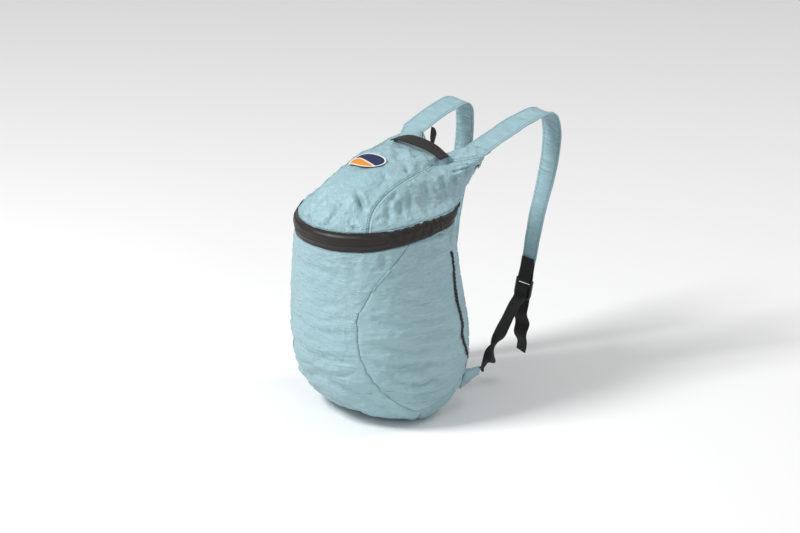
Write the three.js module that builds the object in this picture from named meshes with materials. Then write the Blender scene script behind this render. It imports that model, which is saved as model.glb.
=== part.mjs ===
// A packable daypack of thin crinkled nylon, stuffed full and held up by its two shoulder straps.
// Millimetres, +Z up, -Y towards the front of the bag, +Y towards the wearer, +X the bag's own left.
// The bag is a sack of sewn panels round one hollow, and a curved zip crosses its front below the hood.
// Two cloth straps run from the ears of the yoke over the wearer's shoulders, each down to a ladder lock.
import * as THREE from "three";

// The sack, its cloth and its seams
const bagWidth = 270;
const bagDepth = 250;
const bagHeight = 400;
const clothWall = 1.4;
const seamGap = 0.3;
const seatGap = 0.3;

// The yoke has two ears with the neckline between them, and each ear carries a strap
const earCentre = 70;
const earReach = 33;
const earLift = 15;
const neckRound = 17;

// Straps, webbing and the hard pieces on them
const strapWidth = 46;
const strapEndWidth = 30;
const strapThick = 2.4;
const webbingWidth = 25;
const webbingThick = 1.6;
const lockBar = 3.6;
const lockRail = 4.5;
const lockSlot = 6.6;
const tabLength = 30;
const tabOverlap = 6;
const haulWidth = 18;
const haulThick = 1.8;
const trimWidth = 6;
const trimThick = 1.2;
const badgeLength = 70;
const badgeWidth = 46;
const badgeThick = 1.2;
const cornerTabLength = 26;
const cornerTabWidth = 34;
const cornerTipWidth = 13;
const cornerTipRise = 7;
const zipTapeThick = 1.8;
const zipProud = 0.6;
const zipEdgeGap = 1.3;
const sliderLength = 14;
const sliderWidth = 10;
const sliderThick = 3;
const trimLift = 0.85;
const badgeLift = 1.3;

// How far each strap arches behind its ear, and how far its sewn end hangs below the ear
const nearStrapReach = 155;
const farStrapReach = 101;
const nearStrapRise = 29;
const farStrapRise = 21;
const strapDrop = 215;

// Mesh steps: rows to a loop of the sack, and columns across each panel
const rowsPerLoop = 3;
const frontColumns = 15;
const sideColumns = 8;
const backColumns = 10;
const topColumns = 13;
const zipColumns = 42;
const rowMargin = 0.2;
const strapSteps = 40;
const wrapSteps = 8;
const cornerSteps = 6;
const runSteps = 30;
const tailSteps = 16;
const pocketSteps = 32;
const haulSteps = 20;
const hangSteps = 16;

// The sack is lofted through closed loops. Each loop runs from a fore point to an aft point and round again.
// Y columns are shares of bagDepth, Z columns of bagHeight, half of half the bagWidth.
// wide is how far along the loop it is widest, and the box columns are its exponents before and behind that.
const loops = [
  { foreY: 0.1, foreZ: 0, aftY: 0.1014, aftZ: 0, half: 0.54, wide: 0.5, foreBox: 2.2, aftBox: 2.2 },
  { foreY: -0.1, foreZ: 0.008, aftY: 0.35, aftZ: 0.012, half: 0.74, wide: 0.5, foreBox: 2.2, aftBox: 2.5 },
  { foreY: -0.25, foreZ: 0.055, aftY: 0.465, aftZ: 0.063, half: 0.86, wide: 0.55, foreBox: 2.2, aftBox: 2.8 },
  { foreY: -0.36, foreZ: 0.14, aftY: 0.525, aftZ: 0.14, half: 0.94, wide: 0.57, foreBox: 2.2, aftBox: 2.9 },
  { foreY: -0.42, foreZ: 0.25, aftY: 0.55, aftZ: 0.25, half: 0.985, wide: 0.58, foreBox: 2.2, aftBox: 2.9 },
  { foreY: -0.436, foreZ: 0.375, aftY: 0.536, aftZ: 0.375, half: 1, wide: 0.58, foreBox: 2.2, aftBox: 2.9 },
  { foreY: -0.436, foreZ: 0.5, aftY: 0.5, aftZ: 0.5, half: 0.97, wide: 0.59, foreBox: 2.2, aftBox: 2.9 },
  { foreY: -0.442, foreZ: 0.625, aftY: 0.475, aftZ: 0.638, half: 0.905, wide: 0.61, foreBox: 2.2, aftBox: 3 },
  { foreY: -0.45, foreZ: 0.745, aftY: 0.465, aftZ: 0.79, half: 0.825, wide: 0.64, foreBox: 2.2, aftBox: 3.2 },
  { foreY: -0.45, foreZ: 0.808, aftY: 0.51, aftZ: 0.832, half: 0.8, wide: 0.66, foreBox: 2.2, aftBox: 3.4 },
  { foreY: -0.355, foreZ: 0.878, aftY: 0.59, aftZ: 0.858, half: 0.66, wide: 0.68, foreBox: 2.2, aftBox: 3.6 },
  { foreY: -0.21, foreZ: 0.94, aftY: 0.62, aftZ: 0.88, half: 0.62, wide: 0.68, foreBox: 2.2, aftBox: 3.6 },
  { foreY: -0.02, foreZ: 0.984, aftY: 0.615, aftZ: 0.9, half: 0.62, wide: 0.66, foreBox: 2.3, aftBox: 3.6 },
  { foreY: 0.18, foreZ: 0.995, aftY: 0.6, aftZ: 0.91, half: 0.635, wide: 0.62, foreBox: 2.15, aftBox: 3.4 },
  { foreY: 0.36, foreZ: 0.987, aftY: 0.58, aftZ: 0.925, half: 0.65, wide: 0.56, foreBox: 2.15, aftBox: 3 },
  { foreY: 0.476, foreZ: 0.978, aftY: 0.554, aftZ: 0.948, half: 0.67, wide: 0.5, foreBox: 2.3, aftBox: 2.8 },
  { foreY: 0.548, foreZ: 0.978, aftY: 0.556, aftZ: 0.964, half: 0.69, wide: 0.5, foreBox: 2.8, aftBox: 2.8 },
];
const lensStart = 2;
const zipLow = 8;
const zipHigh = 9;
const earStart = 9;
const earLiftStart = 12.6;
const neckEnd = loops.length - 1;

// Seams run up the sack. turn is degrees round the loop: 0 at its fore point, 90 where widest, 180 behind.
const lensSeam = [
  { loop: 1, turn: 71.5 },
  { loop: 1.9, turn: 71.4 },
  { loop: 2, turn: 71.1 },
  { loop: 2.33, turn: 62 },
  { loop: 2.67, turn: 55 },
  { loop: 3.33, turn: 45 },
  { loop: 4, turn: 37 },
  { loop: 5, turn: 31 },
  { loop: 6, turn: 34 },
  { loop: 7, turn: 49 },
  { loop: 8, turn: 73 },
];
const backSeam = [
  { loop: 1, turn: 71.5 },
  { loop: 1.9, turn: 71.6 },
  { loop: 2, turn: 71.9 },
  { loop: 2.33, turn: 92 },
  { loop: 2.67, turn: 108 },
  { loop: 3.33, turn: 124 },
  { loop: 4, turn: 132 },
  { loop: 6, turn: 137 },
  { loop: 8, turn: 138 },
  { loop: 9, turn: 138 },
  { loop: 12, turn: 134 },
  { loop: 15, turn: 110 },
  { loop: 16, turn: 92 },
];
const ridgeSeam = [
  { loop: 9, turn: 44 },
  { loop: 10, turn: 42 },
  { loop: 11, turn: 42 },
  { loop: 12, turn: 45 },
  { loop: 13, turn: 52 },
  { loop: 14, turn: 62 },
  { loop: 15, turn: 76 },
  { loop: 16, turn: 88 },
];

// Main folds and dents. lean is degrees from straight up the sack, length, width and depth are millimetres.
const folds = [
  { loop: 10.1, turn: 33, lean: 25, length: 20, width: 6, depth: 5 },
  { loop: 11.4, turn: 30, lean: -35, length: 18, width: 7, depth: 4 },
  { loop: 13.1, turn: 46, lean: 10, length: 24, width: 9, depth: 9 },
  { loop: 10.0, turn: 66, lean: 5, length: 30, width: 8, depth: 3.5 },
  { loop: 10.2, turn: 84, lean: 8, length: 32, width: 9, depth: 4 },
  { loop: 10.2, turn: 106, lean: 10, length: 30, width: 9, depth: 4 },
  { loop: 7.55, turn: 112, lean: 55, length: 26, width: 6, depth: 5 },
  { loop: 7.2, turn: 122, lean: 30, length: 30, width: 7, depth: 6 },
  { loop: 5.6, turn: 72, lean: 84, length: 55, width: 9, depth: 3 },
  { loop: 4.3, turn: 66, lean: 70, length: 60, width: 10, depth: 4 },
  { loop: 3.6, turn: 84, lean: 100, length: 55, width: 10, depth: 4.5 },
  { loop: 3.0, turn: 70, lean: 60, length: 45, width: 9, depth: 4 },
  { loop: 3.3, turn: 15, lean: 62, length: 60, width: 12, depth: 4 },
  { loop: 2.6, turn: -12, lean: 70, length: 70, width: 12, depth: 4 },
  { loop: 4.4, turn: -32, lean: 60, length: 60, width: 12, depth: 4 },
  { loop: 6.6, turn: 20, lean: 20, length: 40, width: 12, depth: 2.5 },
  { loop: 3.7, turn: -84, lean: 80, length: 55, width: 11, depth: 4 },
  { loop: 5.3, turn: -74, lean: 96, length: 55, width: 10, depth: 3.5 },
  { loop: 7.3, turn: -120, lean: -30, length: 30, width: 7, depth: 6 },
  { loop: 10.1, turn: -82, lean: -8, length: 32, width: 9, depth: 4 },
  { loop: 10.1, turn: -108, lean: -10, length: 30, width: 9, depth: 4 },
  { loop: 11.8, turn: -34, lean: 30, length: 26, width: 8, depth: 4 },
  { loop: 5.2, turn: 172, lean: 85, length: 70, width: 13, depth: 4 },
  { loop: 6.8, turn: -170, lean: 96, length: 60, width: 12, depth: 4 },
];

// A value between the rows of a table, on a smooth curve through them
function between(a, b, c, d, u) {
  return 0.5 * (2 * b + (c - a) * u + (2 * a - 5 * b + 4 * c - d) * u * u + (3 * b - a - 3 * c + d) * u ** 3);
}

function loopColumn(name, t) {
  const i = Math.min(Math.max(Math.floor(t), 0), loops.length - 2);
  const row = (k) => loops[Math.min(Math.max(k, 0), loops.length - 1)][name];
  return between(row(i - 1), row(i), row(i + 1), row(i + 2), t - i);
}

function seamTurn(seam, t) {
  const last = seam.length - 1;
  const place = Math.min(Math.max(t, seam[0].loop), seam[last].loop);
  const i = Math.min(Math.max(seam.findIndex((row) => row.loop > place) - 1, 0), last - 1);
  const high = place >= seam[last].loop ? last - 1 : i;
  const row = (k) => seam[Math.min(Math.max(k, 0), last)].turn;
  const u = (place - seam[high].loop) / (seam[high + 1].loop - seam[high].loop);
  return THREE.MathUtils.degToRad(between(row(high - 1), row(high), row(high + 1), row(high + 2), u));
}

// A point of the smooth sack at a loop and a turn, inset below the outer face of the cloth
function smoothPoint(t, turn, inset = 0) {
  const step = 0.02;
  const low = Math.max(t - step, 0);
  const high = Math.min(t + step, neckEnd);
  const end = (side, where) =>
    new THREE.Vector2(loopColumn(`${side}Y`, where) * bagDepth, loopColumn(`${side}Z`, where) * bagHeight);
  const frontTangent = end("fore", high).sub(end("fore", low)).normalize();
  const backTangent = end("aft", high).sub(end("aft", low)).normalize();
  const front = end("fore", t).add(new THREE.Vector2(frontTangent.y, -frontTangent.x).multiplyScalar(inset));
  const back = end("aft", t).add(new THREE.Vector2(-backTangent.y, backTangent.x).multiplyScalar(inset));
  const round = (1 - Math.cos(turn)) / 2;
  const square = THREE.MathUtils.lerp(loopColumn("foreBox", t), loopColumn("aftBox", t), round);
  const cosine = Math.cos(turn);
  const sine = Math.sin(turn);
  const reach = (Math.abs(cosine) ** square + Math.abs(sine) ** square) ** (-1 / square);
  const wide = loopColumn("wide", t);
  const along = cosine > 0 ? wide * (1 - reach * cosine) : wide - (1 - wide) * reach * cosine;
  const x = ((loopColumn("half", t) * bagWidth) / 2 - inset) * reach * sine;
  const neckEdge = earCentre - strapWidth / 2;
  const ear = THREE.MathUtils.smoothstep(Math.abs(x), neckEdge - neckRound, neckEdge);
  const reachBack = ear * THREE.MathUtils.smoothstep(t, earStart, neckEnd) * earReach;
  const lift = ear * THREE.MathUtils.smoothstep(t, earLiftStart, neckEnd) * earLift;
  const y = front.x + (back.x - front.x) * along + reachBack;
  const z = front.y + (back.y - front.y) * along + lift;
  return new THREE.Vector3(x, y, z);
}

// The way straight out of the sack at a loop and a turn
function sackNormal(t, turn) {
  const step = 0.01;
  const up = smoothPoint(Math.min(t + step, neckEnd), turn).sub(smoothPoint(Math.max(t - step, 0), turn));
  const round = smoothPoint(t, turn + step).sub(smoothPoint(t, turn - step));
  return round.cross(up).normalize();
}

const foldReach = 45;
const foldFrames = folds.map((fold) => {
  const turn = THREE.MathUtils.degToRad(fold.turn);
  const centre = smoothPoint(fold.loop, turn);
  const out = sackNormal(fold.loop, turn);
  const up = smoothPoint(fold.loop + 0.05, turn).sub(centre).projectOnPlane(out).normalize();
  const along = up.applyAxisAngle(out, THREE.MathUtils.degToRad(fold.lean));
  return { ...fold, centre, out, along, across: out.clone().cross(along) };
});

// A point of the sack with its folds pressed in
function sackPoint(t, turn, inset = 0) {
  const outer = smoothPoint(t, turn);
  const point = inset === 0 ? outer.clone() : smoothPoint(t, turn, inset);
  for (const fold of foldFrames) {
    const from = outer.clone().sub(fold.centre);
    const spread =
      (from.dot(fold.along) / fold.length) ** 2 +
      (from.dot(fold.across) / fold.width) ** 2 +
      (from.dot(fold.out) / foldReach) ** 2;
    point.addScaledVector(fold.out, -fold.depth * Math.exp(-spread));
  }
  return point;
}

// A closed mesh from points and triangles, turned the right way out
function solid(points, triangles) {
  const volume = triangles.reduce((sum, [a, b, c]) => {
    return sum + points[a].dot(points[b].clone().cross(points[c])) / 6;
  }, 0);
  const index = triangles.flatMap(([a, b, c]) => (volume > 0 ? [a, b, c] : [a, c, b]));
  const geometry = new THREE.BufferGeometry();
  const places = points.flatMap((p) => [p.x, p.y, p.z]);
  geometry.setAttribute("position", new THREE.Float32BufferAttribute(places, 3));
  geometry.setIndex(index);
  geometry.computeVertexNormals();
  return geometry;
}

// A sheet with thickness: an outer and an inner grid of points, joined round the rim
function sheetSolid(outer, inner) {
  const rows = outer.length;
  const columns = outer[0].length;
  const points = [...outer.flat(), ...inner.flat()];
  const at = (layer, i, j) => layer * rows * columns + i * columns + j;
  const triangles = [];
  const quad = (a, b, c, d) => triangles.push([a, b, c], [a, c, d]);
  for (let i = 0; i < rows - 1; i++) {
    for (let j = 0; j < columns - 1; j++) {
      quad(at(0, i, j), at(0, i, j + 1), at(0, i + 1, j + 1), at(0, i + 1, j));
      quad(at(1, i, j), at(1, i + 1, j), at(1, i + 1, j + 1), at(1, i, j + 1));
    }
    quad(at(0, i, 0), at(0, i + 1, 0), at(1, i + 1, 0), at(1, i, 0));
    quad(at(0, i, columns - 1), at(1, i, columns - 1), at(1, i + 1, columns - 1), at(0, i + 1, columns - 1));
  }
  for (let j = 0; j < columns - 1; j++) {
    quad(at(0, 0, j), at(1, 0, j), at(1, 0, j + 1), at(0, 0, j + 1));
    quad(at(0, rows - 1, j), at(0, rows - 1, j + 1), at(1, rows - 1, j + 1), at(1, rows - 1, j));
  }
  return solid(points, triangles);
}

// A sewn panel of the sack between two loops and two seams, held half a seam gap off each edge.
// A seam is a table, or a turn in degrees when the edge is no seam.
function panelSolid(from, to, leftTurn, rightTurn, columns, finish = {}) {
  const { proud = 0, wall = clothWall, endGap = seamGap / 2 } = finish;
  const half = seamGap / 2;
  const places = [from];
  for (let k = Math.floor(from * rowsPerLoop) + 1; k < to * rowsPerLoop - rowMargin; k++) {
    if (k > from * rowsPerLoop + rowMargin) places.push(k / rowsPerLoop);
  }
  places.push(to);
  const step = 0.01;
  const shift = (t, edge) => {
    const round = smoothPoint(t, edge(t) + step).sub(smoothPoint(t, edge(t) - step));
    const low = Math.max(t - step, 0);
    const high = Math.min(t + step, neckEnd);
    const seam = smoothPoint(high, edge(high)).sub(smoothPoint(low, edge(low)));
    return (half * seam.length() * 2 * step) / round.cross(seam).length();
  };
  const insetAlong = (t, turn, sign) => {
    if (t <= 0 || t >= neckEnd) return t;
    const length = smoothPoint(t + step, turn).sub(smoothPoint(t - step, turn)).length();
    return t + (sign * endGap * 2 * step) / length;
  };
  const grid = (inset) =>
    places.map((t, i) => {
      const left = leftTurn(t) + shift(t, leftTurn);
      const right = rightTurn(t) - shift(t, rightTurn);
      return Array.from({ length: columns + 1 }, (_, j) => {
        const turn = left + ((right - left) * j) / columns;
        const sign = i === 0 ? 1 : i === places.length - 1 ? -1 : 0;
        return sackPoint(sign === 0 ? t : insetAlong(t, turn, sign), turn, inset);
      });
    });
  return sheetSolid(grid(-proud), grid(wall - proud));
}

// A flat ribbon along a row of stations, each with a point, the way across it and its width
function ribbonSolid(stations, thick) {
  const points = [];
  const triangles = [];
  stations.forEach(({ point, across, width }, i) => {
    const before = stations[Math.max(i - 1, 0)].point;
    const after = stations[Math.min(i + 1, stations.length - 1)].point;
    const tangent = after.clone().sub(before).normalize();
    const side = across.clone().normalize();
    const out = tangent.clone().cross(side).normalize();
    for (const [a, b] of [[-1, -1], [1, -1], [1, 1], [-1, 1]]) {
      points.push(point.clone().addScaledVector(side, (a * width) / 2).addScaledVector(out, (b * thick) / 2));
    }
  });
  const quad = (a, b, c, d) => triangles.push([a, b, c], [a, c, d]);
  for (let i = 0; i < stations.length - 1; i++) {
    for (let k = 0; k < 4; k++) {
      const next = (k + 1) % 4;
      quad(4 * i + k, 4 * i + next, 4 * i + 4 + next, 4 * i + 4 + k);
    }
  }
  const last = 4 * (stations.length - 1);
  quad(3, 2, 1, 0);
  quad(last, last + 1, last + 2, last + 3);
  return solid(points, triangles);
}

// Stations along a smooth curve through rows of { point, across, width }
function smoothStations(rows, count) {
  const curve = new THREE.CatmullRomCurve3(rows.map((row) => row.point), false, "centripetal");
  return Array.from({ length: count + 1 }, (_, k) => {
    const u = k / count;
    const place = curve.getUtoTmapping(u) * (rows.length - 1);
    const i = Math.min(Math.floor(place), rows.length - 2);
    const across = rows[i].across.clone().lerp(rows[i + 1].across, place - i).normalize();
    const width = THREE.MathUtils.lerp(rows[i].width, rows[i + 1].width, place - i);
    return { point: curve.getPointAt(u), across, width };
  });
}

// The loop and turn of the sack whose point lies nearest above a place, found step by step from a first guess
function placeNear(target, out, t, turn) {
  const step = 0.01;
  for (let k = 0; k < 12; k++) {
    const here = smoothPoint(t, turn);
    const up = smoothPoint(t + step, turn).sub(here).divideScalar(step);
    const round = smoothPoint(t, turn + step).sub(here).divideScalar(step);
    const miss = target.clone().sub(here).projectOnPlane(out);
    const upFlat = up.projectOnPlane(out);
    const roundFlat = round.projectOnPlane(out);
    const a = upFlat.dot(upFlat);
    const b = upFlat.dot(roundFlat);
    const c = roundFlat.dot(roundFlat);
    const f = miss.dot(upFlat);
    const g = miss.dot(roundFlat);
    const spread = a * c - b * b;
    t = Math.min(t + (0.8 * (f * c - g * b)) / spread, neckEnd - step);
    turn += (0.8 * (a * g - b * f)) / spread;
  }
  return { t, turn };
}

const cloth = { color: 0x9cc3cb, roughness: 0.6 };
const webbing = { color: 0x2b2826, roughness: 0.7 };
const plastic = { color: 0x2b2826, roughness: 0.45 };
const badgeCloth = { color: 0x2f3550, roughness: 0.8 };
const bag = new THREE.Group();

function add(name, finish, geometry) {
  const mesh = new THREE.Mesh(geometry, new THREE.MeshStandardMaterial({ ...finish, metalness: 0 }));
  mesh.name = name;
  bag.add(mesh);
}

// The seven panels, and the zip tape that fills the slot between the belly and the hood
const lens = (t) => seamTurn(lensSeam, t);
const back = (t) => seamTurn(backSeam, t);
const ridge = (t) => seamTurn(ridgeSeam, t);
const mirrored = (edge) => (t) => -edge(t);
const frontGap = (t) => Math.PI * 2 - back(t);
add("front_panel", cloth, panelSolid(0, zipLow, mirrored(lens), lens, frontColumns));
add("side_panel_left", cloth, panelSolid(lensStart, zipLow, lens, back, sideColumns));
add("side_panel_right", cloth, panelSolid(lensStart, zipLow, mirrored(back), mirrored(lens), sideColumns));
add("back_panel", cloth, panelSolid(0, neckEnd, back, frontGap, backColumns));
add("top_panel", cloth, panelSolid(zipHigh, neckEnd, mirrored(ridge), ridge, topColumns));
add("hood_side_left", cloth, panelSolid(zipHigh, neckEnd, ridge, back, sideColumns));
add("hood_side_right", cloth, panelSolid(zipHigh, neckEnd, mirrored(back), mirrored(ridge), sideColumns));
const zipFinish = { proud: zipProud, wall: zipTapeThick, endGap: zipEdgeGap };
const zip = panelSolid(zipLow, zipHigh, mirrored(back), back, zipColumns, zipFinish);
add("zip_tape", webbing, zip);

// The strap route. reach is a share of the strap's own reach, rise of its own rise and drop of strapDrop.
// taper goes from 0 at the ear to 1 at the sewn end.
const strapRoute = [
  { reach: 0, rise: 0, drop: 0, taper: 0 },
  { reach: 0.2, rise: 0.34, drop: 0, taper: 0.02 },
  { reach: 0.43, rise: 0.67, drop: 0, taper: 0.05 },
  { reach: 0.62, rise: 0.88, drop: 0, taper: 0.1 },
  { reach: 0.77, rise: 1, drop: 0, taper: 0.15 },
  { reach: 0.89, rise: 0.9, drop: 0, taper: 0.2 },
  { reach: 0.96, rise: 0.45, drop: 0, taper: 0.25 },
  { reach: 0.985, rise: 0, drop: 0.03, taper: 0.32 },
  { reach: 0.985, rise: 0, drop: 0.15, taper: 0.4 },
  { reach: 0.95, rise: 0, drop: 0.3, taper: 0.5 },
  { reach: 0.89, rise: 0, drop: 0.44, taper: 0.62 },
  { reach: 0.82, rise: 0, drop: 0.6, taper: 0.75 },
  { reach: 0.75, rise: 0, drop: 0.78, taper: 0.88 },
  { reach: 0.675, rise: 0, drop: 1, taper: 1 },
];

// The middle of an ear's end, between its two layers
function earEnd(side) {
  let turn = 0.01;
  while (smoothPoint(neckEnd, turn).x < earCentre) turn += 0.002;
  const upper = smoothPoint(neckEnd, turn);
  const lower = smoothPoint(neckEnd, Math.PI - turn);
  const middle = upper.add(lower).multiplyScalar(0.5);
  middle.y = smoothPoint(neckEnd, Math.PI - turn).y - seatGap;
  middle.x = side * earCentre;
  return middle;
}

// A ladder lock is a flat frame of three bars with a bow below, and the webbing turns round its middle bar
const lockWidth = webbingWidth + 4 * seatGap + 2 * lockRail;
const barPitch = lockBar + lockSlot;
const lockThick = 4;
const wrapClearance = 1.2 * seatGap;
const wrapRadius = Math.hypot(lockBar, lockThick) / 2 + wrapClearance + webbingThick / 2;
const bowLength = 9;
const bowWall = 3;
const bowRoute = [
  { inset: 1.5, reach: 0.55 },
  { inset: 6, reach: 1 },
];

function lockSolid() {
  const outline = new THREE.Shape();
  const top = barPitch + lockBar / 2;
  const bow = (length, wall) => [
    [lockWidth / 2 - wall, -top - (wall > 0 ? seatGap : 0)],
    ...bowRoute.map((row) => [lockWidth / 2 - wall - row.inset, -top - row.reach * length]),
  ];
  const mirror = (corners) => corners.map(([x, y]) => [-x, y]).reverse();
  const trace = (path, corners) => path.setFromPoints(corners.map(([x, y]) => new THREE.Vector2(x, y)));
  const bottom = bow(bowLength, 0);
  trace(outline, [[lockWidth / 2, top], ...bottom, ...mirror(bottom), [-lockWidth / 2, top]].reverse());
  const eye = new THREE.Path();
  const inner = bow(bowLength - bowWall, bowWall);
  trace(eye, [...inner, ...mirror(inner)]);
  outline.holes.push(eye);
  const slotEdge = lockWidth / 2 - lockRail;
  for (const centre of [barPitch / 2, -barPitch / 2]) {
    const low = centre - lockSlot / 2;
    const high = centre + lockSlot / 2;
    const slot = new THREE.Path();
    trace(slot, [[-slotEdge, low], [slotEdge, low], [slotEdge, high], [-slotEdge, high]]);
    outline.holes.push(slot);
  }
  const geometry = new THREE.ExtrudeGeometry(outline, { depth: lockThick, bevelEnabled: false });
  geometry.translate(0, 0, -lockThick / 2);
  geometry.deleteAttribute("normal");
  geometry.deleteAttribute("uv");
  return geometry;
}

// The free tail below the lock, as shares of tailLength, and the long run of webbing down to the corner tab
const tailLength = 96;
const tailRoute = [
  { drop: 0.18, swing: -0.03, yaw: 0 },
  { drop: 0.34, swing: -0.08, yaw: 6 },
  { drop: 0.52, swing: -0.04, yaw: 16 },
  { drop: 0.7, swing: -0.09, yaw: 4 },
  { drop: 0.86, swing: -0.04, yaw: -10 },
  { drop: 1, swing: -0.07, yaw: -14 },
];
const runRoute = [
  { share: 0.84, sag: -0.02, twist: 0 },
  { share: 0.68, sag: -0.01, twist: 5 },
  { share: 0.52, sag: 0.0, twist: 20 },
  { share: 0.38, sag: 0.03, twist: 37 },
  { share: 0.25, sag: 0.06, twist: 25 },
  { share: 0.12, sag: 0.04, twist: 8 },
];
const runLead = 5;
const pastBar = 2;
const cornerPlace = { loop: 2.8, turn: 131 };
const cornerLean = { out: 0.75, inward: 0.2, back: 0.45, up: 0.4 };
const legRoute = [
  { share: 0.6, open: 0 },
  { share: 0.3, open: 0.5 },
];

for (const side of [1, -1]) {
  const name = side > 0 ? "left" : "right";
  const reach = side > 0 ? nearStrapReach : farStrapReach;
  const rise = side > 0 ? nearStrapRise : farStrapRise;
  const acrossBag = new THREE.Vector3(1, 0, 0);
  const start = earEnd(side);
  const strapRows = strapRoute.map((row) => ({
    point: start.clone().add(new THREE.Vector3(0, row.reach * reach, row.rise * rise - row.drop * strapDrop)),
    across: acrossBag,
    width: THREE.MathUtils.lerp(strapWidth, strapEndWidth, row.taper),
  }));
  const strap = smoothStations(strapRows, strapSteps);
  add(`shoulder_strap_${name}`, cloth, ribbonSolid(strap, strapThick));

  // The frame of the lock: down along the strap, out away from the bag
  const strapEnd = strap[strapSteps].point;
  const down = strapEnd.clone().sub(strap[strapSteps - 1].point).normalize();
  const out = acrossBag.clone().cross(down).normalize();
  const topBar = strapEnd.clone().addScaledVector(down, tabLength);
  const middleBar = topBar.clone().addScaledVector(down, barPitch);
  const local = (origin, along, away) =>
    origin.clone().addScaledVector(down, along).addScaledVector(out, away);
  const flat = (point, width = webbingWidth) => ({ point, across: acrossBag, width });
  const arc = (origin, radius, from, to, steps) =>
    Array.from({ length: steps + 1 }, (_, k) => {
      const angle = THREE.MathUtils.degToRad(from + ((to - from) * k) / steps);
      return flat(local(origin, radius * Math.sin(angle), radius * Math.cos(angle)));
    });

  const lock = new THREE.Matrix4().makeBasis(acrossBag, down.clone().negate(), out.clone().negate());
  lock.setPosition(middleBar);
  add(`ladder_lock_${name}`, plastic, lockSolid().applyMatrix4(lock));

  // The tab is folded round the top bar with the strap's end between its two legs
  const legAway = strapThick / 2 + seatGap + webbingThick / 2;
  const leg = (sign) => [
    flat(local(topBar, -tabLength - tabOverlap, sign * legAway)),
    ...legRoute.map((row) =>
      flat(local(topBar, -tabLength * row.share, sign * THREE.MathUtils.lerp(legAway, wrapRadius, row.open))),
    ),
  ];
  const tab = [...leg(1), ...arc(topBar, wrapRadius, 0, 180, wrapSteps), ...leg(-1).reverse()];
  add(`strap_end_tab_${name}`, webbing, ribbonSolid(tab, webbingThick));

  // The corner tab is a folded triangle of cloth sewn at the lower back corner
  const cornerTurn = THREE.MathUtils.degToRad(cornerPlace.turn) * side;
  const cornerOut = sackNormal(cornerPlace.loop, cornerTurn);
  const seamLow = sackPoint(cornerPlace.loop - 0.1, cornerTurn);
  const seamUp = sackPoint(cornerPlace.loop + 0.1, cornerTurn).sub(seamLow).normalize();
  const toTip = new THREE.Vector3(-side * cornerLean.inward, cornerLean.back, cornerLean.up);
  toTip.addScaledVector(cornerOut, cornerLean.out).normalize();
  const tabLift = 2 * seatGap + (strapThick / 2) * Math.sin(toTip.angleTo(cornerOut));
  const seat = sackPoint(cornerPlace.loop, cornerTurn).addScaledVector(cornerOut, tabLift);
  const tip = seat.clone().addScaledVector(toTip, cornerTabLength).addScaledVector(seamUp, cornerTipRise);
  const tabRows = [
    { point: seat, across: seamUp, width: cornerTabWidth },
    { point: seat.clone().lerp(tip, 0.5), across: seamUp, width: (cornerTabWidth + cornerTipWidth) / 2 },
    { point: tip, across: seamUp, width: cornerTipWidth },
  ];
  add(`corner_tab_${name}`, cloth, ribbonSolid(smoothStations(tabRows, cornerSteps), strapThick));

  // One length of webbing runs from the corner tab up behind the lock, round its middle bar and down again
  const runStart = tip.clone().addScaledVector(toTip, 2 * seatGap);
  const across = acrossBag.clone().multiplyScalar(side);
  const behind = local(middleBar, barPitch + lockBar, -wrapRadius);
  const runSpan = behind.distanceTo(runStart);
  const way = behind.clone().sub(runStart).normalize();
  const runRows = [0, runLead].map((length) => ({
    point: runStart.clone().addScaledVector(toTip, length),
    across: seamUp,
    width: cornerTipWidth,
  }));
  for (const row of [...runRoute].reverse()) {
    const point = runStart.clone().lerp(behind, row.share).add(new THREE.Vector3(0, 0, -row.sag * runSpan));
    const blend = seamUp.clone().lerp(across, row.share);
    const twist = THREE.MathUtils.degToRad(row.twist);
    runRows.push({ point, across: blend.applyAxisAngle(way, twist), width: webbingWidth });
  }
  const upRows = [
    ...runRows,
    { point: behind, across, width: webbingWidth },
    { point: local(middleBar, pastBar, -wrapRadius), across, width: webbingWidth },
  ];
  const wrap = arc(middleBar, wrapRadius, 180, 360, wrapSteps).map((row) => ({ ...row, across }));
  const tailTop = local(middleBar, barPitch, wrapRadius);
  const tailRows = tailRoute.map((row) => {
    const yaw = THREE.MathUtils.degToRad(row.yaw);
    return {
      point: tailTop.clone().add(new THREE.Vector3(0, row.swing * tailLength, -row.drop * tailLength)),
      across: new THREE.Vector3(side * Math.cos(yaw), Math.sin(yaw), 0),
      width: webbingWidth,
    };
  });
  const tailStart = [
    { point: local(middleBar, pastBar, wrapRadius), across, width: webbingWidth },
    { point: tailTop, across, width: webbingWidth },
  ];
  const tail = smoothStations([...tailStart, ...tailRows], tailSteps);
  const lower = [...smoothStations(upRows, runSteps), ...wrap, ...tail];
  add(`lower_webbing_${name}`, webbing, ribbonSolid(lower, webbingThick));
}

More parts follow.
